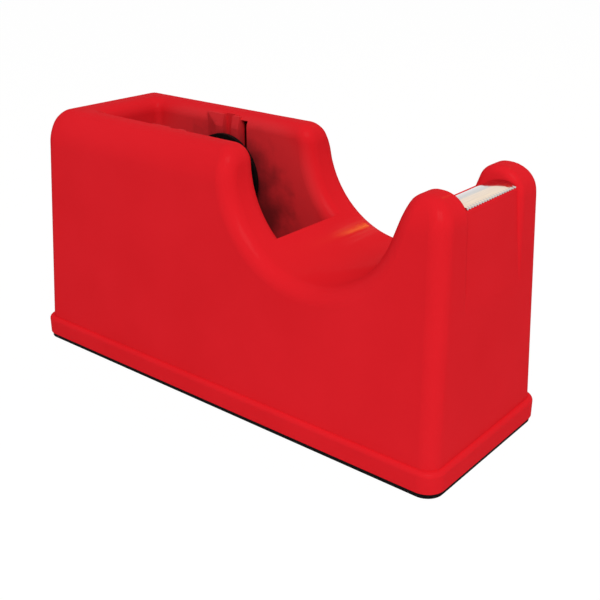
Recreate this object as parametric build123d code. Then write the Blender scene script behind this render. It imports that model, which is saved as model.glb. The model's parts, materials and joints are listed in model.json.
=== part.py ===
from build123d import *
import math
import os

# Desk tape dispenser for 19 mm tape on a one-inch core, in millimetres.
# The origin is on the desk under the middle of the foot, +X runs to the cutter and +Z is up.

# Foot: anti-slip pad and plinth
pad_thickness = 1.6
pad_inset = 0.5
plinth_length = 169.0
plinth_width = 61.2
plinth_height = 6.4
plinth_corner_radius = 5.7
plinth_edge_radius = 1.4

# Body on the plinth, with its height taken from the plinth's underside
ledge = 1.5
body_height = 82.2
rear_lean = 4.1
front_lean = 2.3
side_draft = 2.5
shoulder_radius = 14.0
shoulder_turn = 55.0
edge_radius = 4.8
rear_corner_radius = 7.0
box_corner_radius = 6.0
box_fall = 0.6
ear_lean = 20.0
ear_drop = 1.9
ear_fall = 0.3
ear_rear_radius = 5.5
ear_front_radius = 8.0
wall = 2.4
least_radius = 0.6

# Valley for the fingers: an arc that leaves the nose its length, about a point below the top
valley_radius = 28.8
valley_drop = 5.9
nose_length = 20.0

# Tape well, open at the top and into the valley
well_width = 24.6
well_rear_inset = 21.7
well_mouth = 10.0
well_floor_height = 23.0
well_corner_radius = 2.0
well_edge_radius = 4.6

# Axle guides on the well's two side walls
roll_room = 34.7
axle_drop = 22.0
axle_diameter = 3.8
axle_seat_clearance = 0.05
axle_end_clearance = 0.4
guide_proud = 1.0
guide_ramp_length = 4.7
guide_land = 3.1
guide_length = 38.0
guide_top_gap = 1.4
guide_lead_in = 4.0
channel_depth = 2.6
channel_backing = 1.8
window_width = 3.1
window_length = 30.0
window_top_gap = 2.5

# Tape hub in two halves on a steel axle
core_diameter = 25.0
flange_diameter = 29.4
flange_thickness = 1.3
flange_recess_depth = 0.5
flange_rim = 1.8
hub_side_clearance = 0.7
hub_wall = 1.6
hub_joint_gap = 0.2
sleeve_diameter = 8.0
sleeve_bore_clearance = 0.06
spigot_length = 5.0
spigot_wall = 1.2
spigot_clearance = 0.1
spigot_slots = 4
spigot_slot_width = 1.2
grip_ribs = 6
grip_rib_height = 0.25
grip_rib_width = 1.0

# Cutter seat between the ears, and the blade on it
throat_width = 27.0
throat_edge_radius = 2.2
lip_drop = 9.2
lip_thickness = 2.4
nose_edge_radius = 0.5
panel_foot_height = 47.0
panel_lean = 5.2
crown_inset = 10.0
crown_drop = 5.5
blade_radius = 9.0
blade_thickness = 0.5
blade_seat_clearance = 0.03
blade_side_clearance = 0.2
blade_rear_gap = 0.15
blade_reach = 4.4
blade_flat_length = 2.0
tooth_count = 20
tooth_depth = 1.0
leg_width = 5.0
leg_spacing = 16.0
leg_foot_length = 2.0
leg_foot_gap = 0.2
leg_slot_clearance = 0.2

# Base plate, screws and ballast
plate_thickness = 2.6
plate_clearance = 0.3
skirt_wall = 2.6
boss_diameter = 7.5
boss_height = 26.0
boss_end_inset = 11.5
boss_side_inset = 11.0
boss_web = 2.0
screw_diameter = 2.9
screw_length = 12.0
screw_head_diameter = 5.6
screw_clearance = 0.05
screw_tip_gap = 2.0
screw_slot_width = 0.9
screw_slot_depth = 0.7
ballast_clearance = 2.5
ballast_edge_radius = 3.0

# Levels and stations worked out from the sizes above
plinth_bottom = pad_thickness
plinth_top = plinth_bottom + plinth_height
plate_top = plinth_bottom + plate_thickness
body_top = plinth_bottom + body_height
body_length = plinth_length - 2 * ledge
body_width = plinth_width - 2 * ledge
sky = body_top + valley_radius

valley_x = plinth_length / 2 - nose_length - valley_radius
valley_z = body_top - valley_drop
well_rear_x = -plinth_length / 2 + well_rear_inset
well_front_x = valley_x - valley_radius + well_mouth
well_floor = plinth_bottom + well_floor_height

axle_x = well_rear_x + roll_room
axle_z = body_top - axle_drop
axle_radius = axle_diameter / 2
channel_half = axle_radius + axle_seat_clearance
guide_face = well_width / 2 - guide_proud
guide_top = body_top - guide_top_gap
guide_bottom = guide_top - guide_length
channel_floor = guide_face + channel_depth
axle_half_length = channel_floor - axle_end_clearance
hub_half_length = guide_face - hub_side_clearance

crown_x = plinth_length / 2 - crown_inset
crown_z = body_top - crown_drop
lip_z = body_top - lip_drop
panel_foot = plinth_bottom + panel_foot_height
blade_centre_z = crown_z - blade_radius
blade_inner_radius = blade_radius - blade_thickness
seat_radius = blade_inner_radius - blade_seat_clearance
ear_tilt = math.radians(ear_lean)
lip_rear_x = valley_x + valley_radius / math.cos(ear_tilt) + (lip_z - valley_z) * math.tan(ear_tilt)
lip_front_x = lip_rear_x + lip_thickness
blade_rear_x = lip_front_x + blade_rear_gap
blade_half_width = throat_width / 2 - blade_side_clearance
seat_underside = lip_z - wall
leg_bottom = seat_underside - leg_foot_gap - blade_thickness

boss_x = body_length / 2 - boss_end_inset
boss_y = body_width / 2 - boss_side_inset
boss_top = plinth_bottom + boss_height
boss_places = [(x, y) for x in (-boss_x, boss_x) for y in (-boss_y, boss_y)]
screw_radius = screw_diameter / 2
screw_head_height = (screw_head_diameter - screw_diameter) / 2
TOUCH = 0.001


def tan_deg(angle):
    return math.tan(math.radians(angle))


def cos_deg(angle):
    return math.cos(math.radians(angle))


def sin_deg(angle):
    return math.sin(math.radians(angle))


def cylinder_y(radius, x, z, y_from, y_to):
    """A round bar along Y between two stations."""
    return Pos(x, (y_from + y_to) / 2, z) * Rot(90, 0, 0) * Cylinder(radius, abs(y_to - y_from))


def cylinder_z(radius, x, y, z_from, z_to):
    """A round bar along Z between two levels."""
    return Pos(x, y, (z_from + z_to) / 2) * Cylinder(radius, z_to - z_from)


def block(x_from, x_to, y_from, y_to, z_from, z_to):
    """A box given by its two corners."""
    size = Box(x_to - x_from, y_to - y_from, z_to - z_from)
    return Pos((x_from + x_to) / 2, (y_from + y_to) / 2, (z_from + z_to) / 2) * size


def foot_slab(inset, z_from, z_to):
    """A slab with the plinth's rounded outline, drawn inwards by an inset."""
    outline = RectangleRounded(plinth_length - 2 * inset, plinth_width - 2 * inset,
                               max(plinth_corner_radius - inset, least_radius))
    return Pos(0, 0, z_from) * extrude(outline, z_to - z_from)


def rear_x(level):
    """Where the leaning rear face stands at a level."""
    return -body_length / 2 + tan_deg(rear_lean) * (level - plinth_top)


def front_x(level):
    """Where the leaning front face stands at a level."""
    return body_length / 2 - tan_deg(front_lean) * (level - plinth_top)


def side_y(level):
    """Half the drafted body's width at a level."""
    return body_width / 2 - tan_deg(side_draft) * (level - plinth_top)


def round_corner(face, point, radius):
    """Round the corner of a flat outline that lies nearest to a point."""
    return fillet(face.vertices().sort_by_distance(point)[0], radius)


def side_profile(inset, bottom):
    """Side view of the body: tape box, valley and nose, drawn inwards by an inset."""
    top = body_top - inset
    box_front = top - box_fall
    ear_rear = top - ear_drop
    ear_front = ear_rear - ear_fall
    radius = valley_radius + inset
    rear_inset = inset / cos_deg(rear_lean)
    front_inset = inset / cos_deg(front_lean)
    rear_foot = Vector(rear_x(bottom) + rear_inset, 0, bottom)
    rear_top = Vector(rear_x(top) + rear_inset, 0, top)
    box_edge = Vector(valley_x - math.sqrt(radius ** 2 - (box_front - valley_z) ** 2), 0, box_front)
    ear_foot = Vector(valley_x + radius * cos_deg(ear_lean), 0, valley_z - radius * sin_deg(ear_lean))
    ear_edge = Vector(ear_foot.X + tan_deg(ear_lean) * (ear_rear - ear_foot.Z), 0, ear_rear)
    front_top = Vector(front_x(ear_front) - front_inset, 0, ear_front)
    front_foot = Vector(front_x(bottom) - front_inset, 0, bottom)
    valley = ThreePointArc(box_edge, (valley_x, 0, valley_z - radius), ear_foot)
    rest = Polyline(ear_foot, ear_edge, front_top, front_foot, rear_foot, rear_top, box_edge)
    face = make_face([rest, valley])
    ear_span = (ear_rear_radius - inset) * tan_deg(45 - ear_lean / 2) + ear_front_radius - inset
    ear_fit = min(1, (front_top.X - ear_edge.X - least_radius) / ear_span)
    corners = [(rear_top, rear_corner_radius - inset), (box_edge, box_corner_radius - inset),
               (ear_edge, ear_fit * (ear_rear_radius - inset)),
               (front_top, ear_fit * (ear_front_radius - inset))]
    for point, radius in corners:
        face = round_corner(face, point, max(radius, least_radius))
    return face


def shoulder_centre():
    """The middle of the arc, in the end view, that rounds each side towards the top."""
    level = body_top - shoulder_radius * sin_deg(side_draft + shoulder_turn)
    start = level + shoulder_radius * sin_deg(side_draft)
    return side_y(start) - shoulder_radius * cos_deg(side_draft), level


def rim_radius(radius, half_gap, level):
    """A gap's edge radius, limited by the flat that the outer rounding leaves beside it at a level."""
    centre_y, centre_z = shoulder_centre()
    turn = math.degrees(math.asin((level - centre_z) / shoulder_radius))
    outer = centre_y + shoulder_radius * cos_deg(turn) - edge_radius * tan_deg((90 - turn) / 2)
    return min(radius, outer - half_gap - 2 * least_radius)


def drafted_bar(inset, bottom):
    """A long bar whose sides lean in by the mould's draft and end in round shoulders at the top."""
    end = -plinth_length
    radius = shoulder_radius - inset
    turns = (side_draft, side_draft + shoulder_turn / 2, side_draft + shoulder_turn)
    centre_y, centre_z = shoulder_centre()
    low = side_y(bottom) - inset / cos_deg(side_draft)
    outline = []
    for side in (-1, 1):
        arc = [Vector(end, side * (centre_y + radius * cos_deg(turn)), centre_z + radius * sin_deg(turn))
               for turn in turns]
        foot = Vector(end, side * low, bottom)
        outline += [Line((end, 0, bottom), foot), Line(foot, arc[0]), ThreePointArc(*arc),
                    Line(arc[2], (end, 0, arc[2].Z))]
    return extrude(make_face(outline), 2 * plinth_length, dir=(1, 0, 0))


def is_flank(face):
    """Whether a face of the rough body is one of its two drafted sides or their shoulders."""
    return abs(face.normal_at().Y) > cos_deg(side_draft + shoulder_turn)


def body_form(inset, bottom):
    """The body's rounded outer form, or the hollow inside it when drawn inwards."""
    slab = extrude(side_profile(inset, bottom), plinth_width, dir=(0, 1, 0), both=True)
    form = slab & drafted_bar(inset, bottom)
    flanks = [face for face in form.faces() if is_flank(face)]
    rims = [edge for face in form.faces() if not is_flank(face) for edge in face.edges()]
    edges = [edge for face in flanks for edge in face.edges()
             if edge.center().Z > bottom + TOUCH and any(edge.is_same(rim) for rim in rims)]
    return fillet(edges, max(edge_radius - inset, least_radius))


def well_form(grow):
    """The tape well as a solid, grown outwards to leave a wall round it."""
    half = well_width / 2 + grow
    well = block(well_rear_x - grow, well_front_x + grow, -half, half, well_floor - grow, sky)
    rear_corners = well.edges().filter_by(Axis.Z).group_by(Axis.X)[0]
    return fillet(rear_corners, well_corner_radius + grow)


def panel_x(level):
    """Where the panel between the ears, which leans back to the cutter, stands at a level."""
    return front_x(panel_foot) - tan_deg(panel_lean) * (level - panel_foot)


def nose_form(inset, lip_end, lip_level):
    """What stays standing between the ears, drawn inwards by an inset: arch, panel and rear lip."""
    radius = seat_radius - inset
    lean = tan_deg(panel_lean)
    setback = inset / cos_deg(panel_lean)
    run = panel_x(blade_centre_z) - setback - crown_x
    rise = (run * lean + math.sqrt(radius ** 2 * (1 + lean ** 2) - run ** 2)) / (1 + lean ** 2)
    start = Vector(crown_x - radius, 0, blade_centre_z)
    end = Vector(crown_x + run - lean * rise, 0, blade_centre_z + rise)
    arch = ThreePointArc(start, (crown_x, 0, blade_centre_z + radius), end)
    legs = Polyline(end, (panel_x(panel_foot) - setback, 0, panel_foot), (start.X, 0, panel_foot), start)
    face = round_corner(make_face([arch, legs]), end, nose_edge_radius)
    nose = extrude(face, plinth_width / 2, dir=(0, 1, 0), both=True)
    return nose + block(valley_x, lip_end, -plinth_width / 2, plinth_width / 2, panel_foot, lip_level)


def throat_floor(x):
    """How deep the gap between the ears is cut at a station, before the nose fills it again."""
    slope = (blade_centre_z - panel_foot) / (panel_x(panel_foot) - crown_x)
    return max(blade_centre_z - slope * max(x - crown_x, 0), panel_foot)


def cut_throat(form):
    """Open the gap between the ears, with soft inner edges, down to the cutter's seat and the panel."""
    half = throat_width / 2
    stations = (valley_x, crown_x, panel_x(panel_foot), plinth_length)
    floor = [(x, 0, throat_floor(x)) for x in stations]
    outline = make_face(Polyline(*floor, (plinth_length, 0, sky), (valley_x, 0, sky), close=True))
    slotted = form - extrude(outline, half, dir=(0, 1, 0), both=True)
    cheeks = [face for face in slotted.faces() if abs(abs(face.center().Y) - half) < TOUCH]
    rims = [edge for face in cheeks for edge in face.edges()
            if edge.center().Z > throat_floor(edge.center().X) + TOUCH]
    radius = rim_radius(throat_edge_radius, half, body_top - ear_drop)
    return fillet(rims, radius) + (form & nose_form(0, lip_front_x, lip_z))


def cut_well(form):
    """Sink the tape well and round its mouth, but for the sharp front edge in the valley."""
    half = well_width / 2
    sunk = form - well_form(0)
    rims = []
    for edge in sunk.edges():
        box = edge.bounding_box()
        in_plan = max(-box.min.Y, box.max.Y) < half + TOUCH and box.min.X > well_rear_x - TOUCH
        behind_front = box.min.X < well_front_x - TOUCH
        if in_plan and behind_front and box.min.Z > well_floor + TOUCH:
            rims.append(edge)
    return fillet(rims, rim_radius(well_edge_radius, half, body_top))


def axle_guide():
    """A raised pad on the far wall, with a ramp behind it and a backing for the axle's channel."""
    wall_y = well_width / 2
    root_y = wall_y + wall / 2
    front = axle_x + channel_half + guide_land
    rear = axle_x - channel_half - guide_land
    outline = Polyline((rear - guide_ramp_length, wall_y, guide_bottom), (rear, guide_face, guide_bottom),
                       (front, guide_face, guide_bottom), (front, root_y, guide_bottom),
                       (rear - guide_ramp_length, root_y, guide_bottom), close=True)
    pad = extrude(make_face(outline), guide_length, dir=(0, 0, 1))
    start = rear - guide_ramp_length
    slope = Polyline((start, guide_face, guide_top - guide_lead_in), (start, guide_face, guide_top),
                     (start, wall_y, guide_top), close=True)
    pad -= extrude(make_face(slope), front - start, dir=(1, 0, 0))
    reach = channel_half + channel_backing
    backing = block(axle_x - reach, axle_x + reach, root_y, channel_floor + channel_backing,
                    axle_z - reach, body_top - wall / 2)
    return pad + backing


def axle_channel():
    """The far wall's channel, open at the top, in which the axle drops to its seat."""
    seat = cylinder_y(channel_half, axle_x, axle_z, 0, channel_floor)
    return seat + block(axle_x - channel_half, axle_x + channel_half, 0, channel_floor, axle_z, sky)


def guide_window():
    """The long slot through the far wall that lets the guide spring."""
    start = axle_x + channel_half + guide_land
    top = body_top - window_top_gap
    return block(start, start + window_width, 0, well_width / 2 + wall + TOUCH, top - window_length, top)


def on_both_walls(piece):
    """A piece of the far wall with its mirror image on the near wall."""
    return piece + mirror(piece, Plane.XZ)


def screw_bosses():
    """Four posts under the body's corners, each tied to its end wall by a web."""
    bosses = Part()
    for x, y in boss_places:
        end = math.copysign(body_length / 2, x)
        web = block(min(x, end), max(x, end), y - boss_web / 2, y + boss_web / 2, plate_top, boss_top)
        bosses += cylinder_z(boss_diameter / 2, x, y, plate_top, boss_top) + web
    return bosses


def leg_places():
    """Where the middles of the blade's two legs stand across the nose."""
    return (-leg_spacing / 2, leg_spacing / 2)


def make_body_shell():
    """The moulded body: plinth, tape box, valley, ears and cutter seat, hollow from below."""
    form = body_form(0, plate_top)
    shell = cut_well(cut_throat(form))
    plinth = foot_slab(0, plinth_bottom, plinth_top)
    shell += fillet(plinth.edges().group_by(Axis.Z)[-1], plinth_edge_radius)
    half = throat_width / 2 + wall
    throat = block(valley_x, plinth_length, -half, half, panel_foot, sky)
    throat -= nose_form(wall, crown_x, seat_underside)
    hollow = body_form(wall, plate_top) - well_form(wall) - throat
    shell -= hollow
    shell -= foot_slab(skirt_wall, plinth_bottom, plate_top)
    shell += on_both_walls(axle_guide()) & form
    shell += screw_bosses() & form
    shell -= on_both_walls(axle_channel() + guide_window())
    screw_end = plinth_bottom + screw_length + screw_tip_gap
    for x, y in boss_places:
        shell -= cylinder_z(screw_radius + screw_clearance, x, y, plate_top, screw_end)
    reach = leg_width / 2 + leg_slot_clearance
    for y in leg_places():
        shell -= block(lip_front_x, blade_rear_x + blade_thickness + leg_slot_clearance,
                       y - reach, y + reach, leg_bottom - leg_slot_clearance, crown_z)
    return shell


def make_base_pad():
    """The soft anti-slip pad glued under the plinth and the base plate."""
    return foot_slab(pad_inset, 0, pad_thickness)


def screw_form(x, y, grow):
    """A countersunk screw as a plain bar and cone, grown outwards to leave its hole."""
    head_top = plinth_bottom + screw_head_height
    head = Cone(screw_head_diameter / 2 + grow, screw_radius + grow, screw_head_height)
    shaft = cylinder_z(screw_radius + grow, x, y, plinth_bottom, plinth_bottom + screw_length)
    return shaft + Pos(x, y, (plinth_bottom + head_top) / 2) * head


def make_base_plate():
    """The plate let into the plinth that closes the body under the ballast."""
    plate = foot_slab(skirt_wall + plate_clearance, plinth_bottom, plate_top)
    for x, y in boss_places:
        plate -= screw_form(x, y, screw_clearance)
    return plate


def make_base_screws():
    """Four slotted countersunk screws from the plate into the bosses."""
    screws = []
    for x, y in boss_places:
        reach = screw_head_diameter
        slot = block(x - reach, x + reach, y - screw_slot_width / 2, y + screw_slot_width / 2,
                     plinth_bottom, plinth_bottom + screw_slot_depth)
        screws.append(screw_form(x, y, 0) - slot)
    return Compound(children=screws)


def make_ballast_block():
    """The cast weight on the plate: a slab under the tape well and a hump under the valley."""
    end = boss_x - boss_diameter / 2 - ballast_clearance
    step = well_front_x + wall + ballast_clearance
    slab_top = well_floor - wall - ballast_clearance
    hump_top = valley_z - valley_radius - wall - ballast_clearance
    points = [(-end, plate_top), (-end, slab_top), (step, slab_top), (step, hump_top),
              (end, hump_top), (end, plate_top)]
    face = make_face(Polyline(*[(x, 0, z) for x, z in points], close=True))
    for x, z in points[1:5]:
        face = round_corner(face, Vector(x, 0, z), ballast_edge_radius)
    casting = extrude(face, plinth_width / 2, dir=(0, 1, 0), both=True)
    return casting & drafted_bar(wall + ballast_clearance, plate_top)


def make_cutter_blade():
    """The arched steel strip with a toothed front edge, held by two folded legs."""
    reach = math.hypot(blade_radius, blade_flat_length)
    tilt = math.asin(blade_reach / reach) - math.atan2(blade_flat_length, blade_radius)
    rear = math.asin((crown_x - blade_rear_x) / blade_radius)

    def arch_point(radius, angle):
        return Vector(crown_x + radius * math.sin(angle), 0, blade_centre_z + radius * math.cos(angle))

    outer = [arch_point(blade_radius, angle) for angle in (-rear, (tilt - rear) / 2, tilt)]
    inner = [arch_point(blade_inner_radius, angle) for angle in (-rear, (tilt - rear) / 2, tilt)]
    section = make_face([ThreePointArc(*outer), Line(outer[2], inner[2]),
                         ThreePointArc(*inner), Line(inner[0], outer[0])])
    blade = extrude(section, blade_half_width, dir=(0, 1, 0), both=True)

    pitch = 2 * blade_half_width / tooth_count
    root = blade_flat_length - tooth_depth
    edge = [(-blade_half_width, 0), (-blade_half_width, root)]
    for tooth in range(tooth_count):
        start = -blade_half_width + tooth * pitch
        edge += [(start + pitch / 2, blade_flat_length), (start + pitch, root)]
    edge.append((blade_half_width, 0))
    normal = Vector(math.sin(tilt), 0, math.cos(tilt))
    flat = Plane(origin=inner[2], x_dir=(0, -1, 0), z_dir=normal)
    blade += extrude(flat * make_face(Polyline(*edge, close=True)), blade_thickness, dir=normal)

    for y in leg_places():
        sides = (y - leg_width / 2, y + leg_width / 2)
        leg = block(blade_rear_x, blade_rear_x + blade_thickness, *sides, leg_bottom, outer[0].Z)
        foot = block(blade_rear_x, blade_rear_x + blade_thickness + leg_foot_length, *sides,
                     leg_bottom, leg_bottom + blade_thickness)
        blade += leg + foot
    return blade


def make_hub_axle():
    """The steel pin that lies across the well in the two channels."""
    return cylinder_y(axle_radius, axle_x, axle_z, -axle_half_length, axle_half_length)


def tube_y(outer, inner, y_from, y_to):
    """A tube along the axle between two stations."""
    return cylinder_y(outer, axle_x, axle_z, y_from, y_to) - cylinder_y(inner, axle_x, axle_z, y_from, y_to)


def hub_half(side):
    """One half of the tape hub: flange, ribbed barrel for the core and a sleeve on the axle."""
    face = side * hub_half_length
    flange_inner = side * (hub_half_length - flange_thickness)
    joint = side * hub_joint_gap / 2
    core_radius = core_diameter / 2
    bore = axle_radius + sleeve_bore_clearance
    half = cylinder_y(flange_diameter / 2, axle_x, axle_z, flange_inner, face)
    half += tube_y(core_radius, core_radius - hub_wall, flange_inner, joint)
    half += tube_y(sleeve_diameter / 2, bore, flange_inner, joint)
    for number in range(grip_ribs):
        rib = block(core_radius - hub_wall / 2, core_radius + grip_rib_height,
                    min(flange_inner, joint), max(flange_inner, joint),
                    -grip_rib_width / 2, grip_rib_width / 2)
        half += Pos(axle_x, 0, axle_z) * Rot(0, number * 360 / grip_ribs, 0) * rib
    recess_floor = side * (hub_half_length - flange_recess_depth)
    half -= tube_y(flange_diameter / 2 - flange_rim, sleeve_diameter / 2, recess_floor, face)
    return half - cylinder_y(bore, axle_x, axle_z, flange_inner, face)


def make_hub_half_far():
    """The far half of the hub, with the plain socket."""
    return hub_half(1)


def make_hub_half_near():
    """The near half of the hub, with a slotted spigot that plugs into the far half."""
    outer = core_diameter / 2 - hub_wall - spigot_clearance
    inner = outer - spigot_wall
    joint = -hub_joint_gap / 2
    root = joint - spigot_length
    spigot = tube_y(outer, inner, root, spigot_length)
    collar = tube_y(core_diameter / 2 - hub_wall / 2, inner, root, joint - spigot_length / 2)
    for number in range(spigot_slots):
        slot = block(inner - spigot_wall, outer + spigot_wall, joint, spigot_length,
                     -spigot_slot_width / 2, spigot_slot_width / 2)
        spigot -= Pos(axle_x, 0, axle_z) * Rot(0, (number + 0.5) * 360 / spigot_slots, 0) * slot
    return hub_half(-1) + spigot + collar


NODES = {
    "body_shell": make_body_shell,
    "base_plate": make_base_plate,
    "base_pad": make_base_pad,
    "base_screws": make_base_screws,
    "ballast_block": make_ballast_block,
    "cutter_blade": make_cutter_blade,
    "hub_axle": make_hub_axle,
    "hub_half_near": make_hub_half_near,
    "hub_half_far": make_hub_half_far,
}

os.makedirs("parts", exist_ok=True)
for node, make in NODES.items():
    export_step(make(), f"parts/{node}.step")
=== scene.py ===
import json
import math

import bmesh
import bpy
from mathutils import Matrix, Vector

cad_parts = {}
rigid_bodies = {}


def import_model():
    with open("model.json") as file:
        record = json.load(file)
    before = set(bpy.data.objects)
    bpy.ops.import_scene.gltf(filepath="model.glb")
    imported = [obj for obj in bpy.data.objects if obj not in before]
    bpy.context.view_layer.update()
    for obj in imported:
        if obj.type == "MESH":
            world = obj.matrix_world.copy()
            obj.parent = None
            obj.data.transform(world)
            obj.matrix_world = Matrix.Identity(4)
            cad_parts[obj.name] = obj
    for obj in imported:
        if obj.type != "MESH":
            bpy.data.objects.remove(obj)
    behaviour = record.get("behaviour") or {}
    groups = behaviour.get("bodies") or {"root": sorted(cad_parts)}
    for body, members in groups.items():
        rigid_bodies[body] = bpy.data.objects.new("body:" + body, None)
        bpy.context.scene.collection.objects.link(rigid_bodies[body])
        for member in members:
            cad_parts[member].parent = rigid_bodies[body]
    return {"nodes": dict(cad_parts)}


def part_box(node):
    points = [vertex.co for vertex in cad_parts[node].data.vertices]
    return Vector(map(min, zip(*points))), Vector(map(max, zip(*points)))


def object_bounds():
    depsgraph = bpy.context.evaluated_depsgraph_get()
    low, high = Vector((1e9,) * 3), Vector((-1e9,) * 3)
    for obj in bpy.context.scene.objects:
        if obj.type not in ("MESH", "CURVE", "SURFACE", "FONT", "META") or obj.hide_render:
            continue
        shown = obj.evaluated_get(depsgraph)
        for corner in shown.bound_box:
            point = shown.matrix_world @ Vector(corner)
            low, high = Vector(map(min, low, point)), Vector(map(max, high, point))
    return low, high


for leftover in list(bpy.data.objects):
    bpy.data.objects.remove(leftover)
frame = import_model()
cad_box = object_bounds()
nodes = frame["nodes"]

# Base pad
# A sheet of black foam rubber, glued under the plinth so that the dispenser doesn't slide.
# It is die-cut, so its edge is square and shows the open cells of the foam.


def new_finish(name, roughness=0.5):
    """A material with its shader and with coordinates in metres on the piece itself."""
    finish = bpy.data.materials.new(name)
    finish.use_nodes = True
    tree = finish.node_tree
    shader = tree.nodes["Principled BSDF"]
    shader.inputs["Roughness"].default_value = roughness
    place = tree.nodes.new("ShaderNodeTexCoord").outputs["Object"]
    return finish, tree, shader, place


def add_noise(tree, place, cell, detail):
    """Noise whose lumps are about one cell wide, in metres."""
    noise = tree.nodes.new("ShaderNodeTexNoise")
    noise.inputs["Scale"].default_value = 1 / cell
    noise.inputs["Detail"].default_value = detail
    tree.links.new(place, noise.inputs["Vector"])
    return noise.outputs["Fac"]


def blend_colours(tree, value, first, second):
    """Go from one colour to another over the middle of a 0 to 1 pattern."""
    ramp = tree.nodes.new("ShaderNodeValToRGB")
    ramp.color_ramp.elements[0].position = 0.3
    ramp.color_ramp.elements[0].color = (*first, 1)
    ramp.color_ramp.elements[1].position = 0.7
    ramp.color_ramp.elements[1].color = (*second, 1)
    tree.links.new(value, ramp.inputs["Fac"])
    return ramp.outputs["Color"]


def add_bump(tree, shader, height, depth, below=None):
    """Raise the surface by a pattern, depth metres high, over an earlier bump."""
    bump = tree.nodes.new("ShaderNodeBump")
    bump.inputs["Distance"].default_value = depth
    tree.links.new(height, bump.inputs["Height"])
    if below:
        tree.links.new(below, bump.inputs["Normal"])
    tree.links.new(bump.outputs["Normal"], shader.inputs["Normal"])
    return bump.outputs["Normal"]


foam_dark, foam_light = (0.002, 0.002, 0.002), (0.012, 0.012, 0.012)
foam, tree, shader, place = new_finish("black_foam", roughness=0.9)
shader.inputs["Specular IOR Level"].default_value = 0.05
cells = add_noise(tree, place, cell=0.0006, detail=3)
tree.links.new(blend_colours(tree, cells, foam_dark, foam_light), shader.inputs["Base Color"])
add_bump(tree, shader, cells, depth=0.0003)
nodes["base_pad"].material_slots[0].material = foam

# Base plate, ballast and screws
# The plate is a plain black moulding let into the plinth, and carries a rough iron casting.
# Four zinc-plated screws go through it from below, under the pad.

plate_dark, plate_light = (0.012, 0.012, 0.012), (0.02, 0.02, 0.02)
plate, tree, shader, place = new_finish("black_moulding", roughness=0.5)
grain = add_noise(tree, place, cell=0.0008, detail=4)
tree.links.new(blend_colours(tree, grain, plate_dark, plate_light), shader.inputs["Base Color"])
add_bump(tree, shader, grain, depth=0.00004)
nodes["base_plate"].material_slots[0].material = plate

iron_dark, iron_light = (0.09, 0.085, 0.08), (0.2, 0.19, 0.185)
casting, tree, shader, place = new_finish("sand_cast_iron", roughness=0.7)
shader.inputs["Metallic"].default_value = 1.0
sand = add_noise(tree, place, cell=0.0015, detail=5)
tree.links.new(blend_colours(tree, sand, iron_dark, iron_light), shader.inputs["Base Color"])
add_bump(tree, shader, sand, depth=0.0003)
nodes["ballast_block"].material_slots[0].material = casting

zinc_grey, zinc_yellow = (0.5, 0.5, 0.5), (0.66, 0.65, 0.6)
zinc, tree, shader, place = new_finish("zinc_plate", roughness=0.35)
shader.inputs["Metallic"].default_value = 1.0
bloom = add_noise(tree, place, cell=0.002, detail=3)
tree.links.new(blend_colours(tree, bloom, zinc_grey, zinc_yellow), shader.inputs["Base Color"])
nodes["base_screws"].material_slots[0].material = zinc

# Body shell
# One moulding of red plastic with a thin gloss: plinth, tape box, finger valley, ears and cutter seat.
# The mould leaves a fine satin grain, and the pigment runs slightly darker and lighter.
# Dust lies on the well's walls near the hub, painted shade darkens them around and below the hub, and
# tape has polished strokes into the valley.


def spread(tree, value, low, high):
    """Stretch the middle of a 0 to 1 pattern between two values."""
    span = tree.nodes.new("ShaderNodeMapRange")
    span.inputs["From Min"].default_value = 0.3
    span.inputs["From Max"].default_value = 0.7
    span.inputs["To Min"].default_value = low
    span.inputs["To Max"].default_value = high
    tree.links.new(value, span.inputs["Value"])
    return span.outputs["Result"]


def fade(tree, value, start, end, first, last):
    """Go smoothly from a first number to a last one while a value rises from start to end."""
    slope = tree.nodes.new("ShaderNodeMapRange")
    slope.interpolation_type = "SMOOTHSTEP"
    slope.inputs["From Min"].default_value = start
    slope.inputs["From Max"].default_value = end
    slope.inputs["To Min"].default_value = first
    slope.inputs["To Max"].default_value = last
    tree.links.new(value, slope.inputs["Value"])
    return slope.outputs["Result"]


def work_out(tree, operation, *values):
    """Work out a number from links and plain numbers."""
    math_node = tree.nodes.new("ShaderNodeMath")
    math_node.operation = operation
    for socket, value in zip(math_node.inputs, values):
        if isinstance(value, bpy.types.NodeSocket):
            tree.links.new(value, socket)
        else:
            socket.default_value = value
    return math_node.outputs["Value"]


def rescale(tree, place, scale, location=(0, 0, 0)):
    """Coordinates that are scaled along each axis and then moved."""
    mapping = tree.nodes.new("ShaderNodeMapping")
    mapping.inputs["Scale"].default_value = scale
    mapping.inputs["Location"].default_value = location
    tree.links.new(place, mapping.inputs["Vector"])
    return mapping.outputs["Vector"]


def from_line(tree, place, x, z):
    """Distance from a line that runs across the object at one x and z."""
    length = tree.nodes.new("ShaderNodeVectorMath")
    length.operation = "LENGTH"
    tree.links.new(rescale(tree, place, (1, 0, 1), (-x, 0, -z)), length.inputs[0])
    return length.outputs["Value"]


def cover(tree, under, share, colour):
    """Cover a share of one colour with another."""
    mix = tree.nodes.new("ShaderNodeMixRGB")
    mix.inputs["Color2"].default_value = (*colour, 1)
    tree.links.new(under, mix.inputs["Color1"])
    tree.links.new(share, mix.inputs["Fac"])
    return mix.outputs["Color"]


red_dark, red_light = (0.75, 0.014, 0.021), (0.79, 0.016, 0.024)
dust_colour, dust_share = (0.75, 0.6, 0.6), 0.028
# Painted shade that darkens the well's walls around and below the hub: its colour, its share and how
# far below the axle it centres.
hub_shade_colour, hub_shade_share = (0.06, 0.012, 0.013), 0.78
hub_shade_below_axle = 0.012
well_wall, well_rim = 0.0123, 0.0155
streak_x, streak_z = 0.0235, 0.0519
plain_gloss, stroke_gloss = 0.03, 0.2

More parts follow.
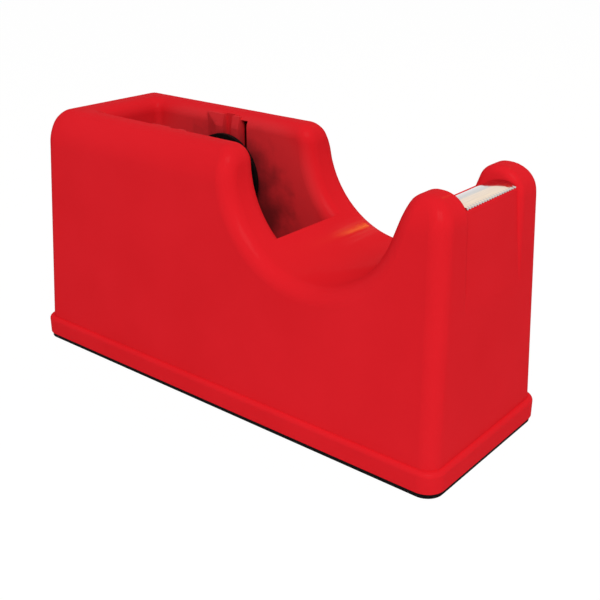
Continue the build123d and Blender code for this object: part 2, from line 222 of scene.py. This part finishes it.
red, tree, shader, place = new_finish("red_moulding")
shader.inputs["Specular IOR Level"].default_value = 0.0
shader.inputs["Coat Roughness"].default_value = 0.18
flow = add_noise(tree, place, cell=0.03, detail=2)
pigment = blend_colours(tree, flow, red_dark, red_light)

axle_low, axle_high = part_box("hub_axle")
axle = (axle_low + axle_high) / 2
across = tree.nodes.new("ShaderNodeSeparateXYZ")
tree.links.new(place, across.inputs["Vector"])
off_middle = work_out(tree, "ABSOLUTE", across.outputs["Y"])
in_well = fade(tree, off_middle, well_wall, well_rim, 1, 0)
from_hub = from_line(tree, place, axle.x, axle.z - hub_shade_below_axle)
settled = fade(tree, from_hub, 0.036, 0.046, dust_share, 0)
dusty = cover(tree, pigment, work_out(tree, "MULTIPLY", settled, in_well), dust_colour)
# Painted shade: the well's walls darken towards the hub and below it, with a blotchy edge.
shade_mottle = spread(tree, add_noise(tree, place, cell=0.007, detail=5), -0.005, 0.005)
hub_shade = fade(tree, work_out(tree, "ADD", from_hub, shade_mottle), 0.013, 0.034, hub_shade_share, 0)
dusty_and_shaded = cover(tree, dusty, work_out(tree, "MULTIPLY", hub_shade, in_well), hub_shade_colour)
tree.links.new(dusty_and_shaded, shader.inputs["Base Color"])

haze = add_noise(tree, place, cell=0.012, detail=4)
tree.links.new(spread(tree, haze, 0.34, 0.44), shader.inputs["Roughness"])
skin = add_noise(tree, place, cell=0.009, detail=2)
waves = add_bump(tree, shader, skin, depth=0.00003)
grain = add_noise(tree, place, cell=0.0004, detail=2)
add_bump(tree, shader, grain, depth=0.000006, below=waves)

strokes = add_noise(tree, rescale(tree, place, (1, 0.08, 1)), cell=0.0015, detail=2)
rubbing = tree.nodes.new("ShaderNodeBump")
rubbing.inputs["Distance"].default_value = 0.00003
tree.links.new(strokes, rubbing.inputs["Height"])
tree.links.new(rubbing.outputs["Normal"], shader.inputs["Coat Normal"])
far_side = fade(tree, across.outputs["Y"], 0.003, 0.014, 0, 1)
in_streak = fade(tree, from_line(tree, place, streak_x, streak_z), 0.002, 0.006, 1, 0)
polished = work_out(tree, "MULTIPLY", far_side, in_streak)
gloss = work_out(tree, "MULTIPLY_ADD", polished, spread(tree, strokes, 0, stroke_gloss), plain_gloss)
tree.links.new(gloss, shader.inputs["Coat Weight"])
nodes["body_shell"].material_slots[0].material = red

# Cutter blade
# A strip of bright steel, rolled to an arch and toothed along its front edge by a press.
# Fine lines from rolling run across the tape's path.

steel_dark, steel_light = (0.54, 0.525, 0.51), (0.6, 0.585, 0.57)
steel, tree, shader, place = new_finish("bright_strip")
shader.inputs["Metallic"].default_value = 1.0
rolling = add_noise(tree, rescale(tree, place, (8, 0.3, 8)), cell=0.002, detail=3)
tree.links.new(blend_colours(tree, rolling, steel_dark, steel_light), shader.inputs["Base Color"])
tree.links.new(spread(tree, rolling, 0.08, 0.13), shader.inputs["Roughness"])
nodes["cutter_blade"].material_slots[0].material = steel

# Hub axle
# A pin cut from drawn steel bar that lies loose in the two channels of the well.
# The die leaves fine streaks along it.

bar_dark, bar_light = (0.45, 0.45, 0.46), (0.6, 0.6, 0.61)
bar, tree, shader, place = new_finish("drawn_bar", roughness=0.3)
shader.inputs["Metallic"].default_value = 1.0
streaks = add_noise(tree, rescale(tree, place, (6, 0.2, 6)), cell=0.002, detail=3)
tree.links.new(blend_colours(tree, streaks, bar_dark, bar_light), shader.inputs["Base Color"])
nodes["hub_axle"].material_slots[0].material = bar

# Tape hub
# Two black mouldings that plug together inside the core of the roll and turn on the axle.
# Their skin has the fine grain of the mould.

hub_dark, hub_light = (0.003, 0.003, 0.003), (0.006, 0.006, 0.006)
hub, tree, shader, place = new_finish("black_hub", roughness=0.45)
shader.inputs["Specular IOR Level"].default_value = 0.08
grain = add_noise(tree, place, cell=0.0006, detail=3)
tree.links.new(blend_colours(tree, grain, hub_dark, hub_light), shader.inputs["Base Color"])
add_bump(tree, shader, grain, depth=0.00003)
for half in ("hub_half_near", "hub_half_far"):
    nodes[half].material_slots[0].material = hub

# Floor
# A white sweep without an end, as for a catalogue picture.
# It glows white where it is seen, and a small share of it still takes the object's shadow.


def seen_rays(tree):
    """1 for rays from the camera and their mirrored and refracted parts, otherwise 0."""
    path = tree.nodes.new("ShaderNodeLightPath").outputs
    mirrored = work_out(tree, "MAXIMUM", path["Is Camera Ray"], path["Is Glossy Ray"])
    return work_out(tree, "MAXIMUM", mirrored, path["Is Transmission Ray"])


floor_half, floor_white, floor_glow, floor_glow_share = 4, 0.8, 1.03, 0.94
sweep = bmesh.new()
bmesh.ops.create_grid(sweep, x_segments=1, y_segments=1, size=floor_half)
floor_mesh = bpy.data.meshes.new("floor")
sweep.to_mesh(floor_mesh)
sweep.free()
floor = bpy.data.objects.new("floor", floor_mesh)
bpy.context.scene.collection.objects.link(floor)

paper, tree, shader, _ = new_finish("white_paper", roughness=0.9)
shader.inputs["Base Color"].default_value = (floor_white, floor_white, floor_white, 1)
shader.inputs["Specular IOR Level"].default_value = 0.0
glow = tree.nodes.new("ShaderNodeEmission")
glow.inputs["Strength"].default_value = floor_glow
mix = tree.nodes.new("ShaderNodeMixShader")
tree.links.new(work_out(tree, "MULTIPLY", seen_rays(tree), floor_glow_share), mix.inputs["Fac"])
tree.links.new(shader.outputs["BSDF"], mix.inputs[1])
tree.links.new(glow.outputs["Emission"], mix.inputs[2])
tree.links.new(mix.outputs["Shader"], tree.nodes["Material Output"].inputs["Surface"])
floor_mesh.materials.append(paper)

# Light
# A white room with one large soft light at the camera's side.
# Behind the object stand a panel that the blade mirrors and a small lamp that glints in the valley.

room_light, room_white = 0.42, 1.0
world = bpy.data.worlds.new("room")
bpy.context.scene.world = world
world.use_nodes = True
tree = world.node_tree
air = tree.nodes["Background"]
air.inputs["Color"].default_value = (1, 1, 1, 1)
level = tree.nodes.new("ShaderNodeMapRange")
level.inputs["To Min"].default_value = room_light
level.inputs["To Max"].default_value = room_white
tree.links.new(seen_rays(tree), level.inputs["Value"])
tree.links.new(level.outputs["Result"], air.inputs["Strength"])


def add_softbox(name, azimuth, elevation, distance, width, height, power, colour):
    """An area light that looks at the middle of the object from a direction."""
    lamp = bpy.data.lights.new(name, "AREA")
    lamp.shape = "RECTANGLE"
    lamp.size = width
    lamp.size_y = height
    lamp.energy = power
    lamp.color = colour
    turn, rise = math.radians(azimuth), math.radians(elevation)
    level_back = Vector((math.sin(turn), -math.cos(turn), 0)) * math.cos(rise)
    back = level_back + Vector((0, 0, math.sin(rise)))
    target = (cad_box[0] + cad_box[1]) / 2
    light = bpy.data.objects.new(name, lamp)
    light.location = target + back * distance
    light.rotation_euler = (-back).to_track_quat("-Z", "Y").to_euler()
    bpy.context.scene.collection.objects.link(light)


add_softbox("key_light", azimuth=44, elevation=47, distance=1.2,
            width=0.6, height=0.6, power=8.1, colour=(1, 1, 1))
add_softbox("cream_panel", azimuth=192, elevation=31, distance=0.9,
            width=0.5, height=0.3, power=0.17, colour=(1, 0.5, 0.02))
add_softbox("warm_lamp", azimuth=184, elevation=38.3, distance=0.9,
            width=0.05, height=0.05, power=0.3, colour=(1, 0.6, 0.02))

# Camera
# It stands before the cutter end and a little above, as a customer looks at it on a counter.
# The view is plain, so the colours come out as they are written.

look_down, look_round = math.radians(23.289), math.radians(39.513)
lens = bpy.data.cameras.new("camera")
lens.lens = 55.984
lens.shift_x = -0.00053
camera = bpy.data.objects.new("camera", lens)
camera.location = (0.189368, -0.213353, 0.149235)
camera.rotation_euler = (math.pi / 2 - look_down, 0, look_round)
bpy.context.scene.collection.objects.link(camera)
bpy.context.scene.camera = camera
bpy.context.scene.view_settings.view_transform = "Standard"
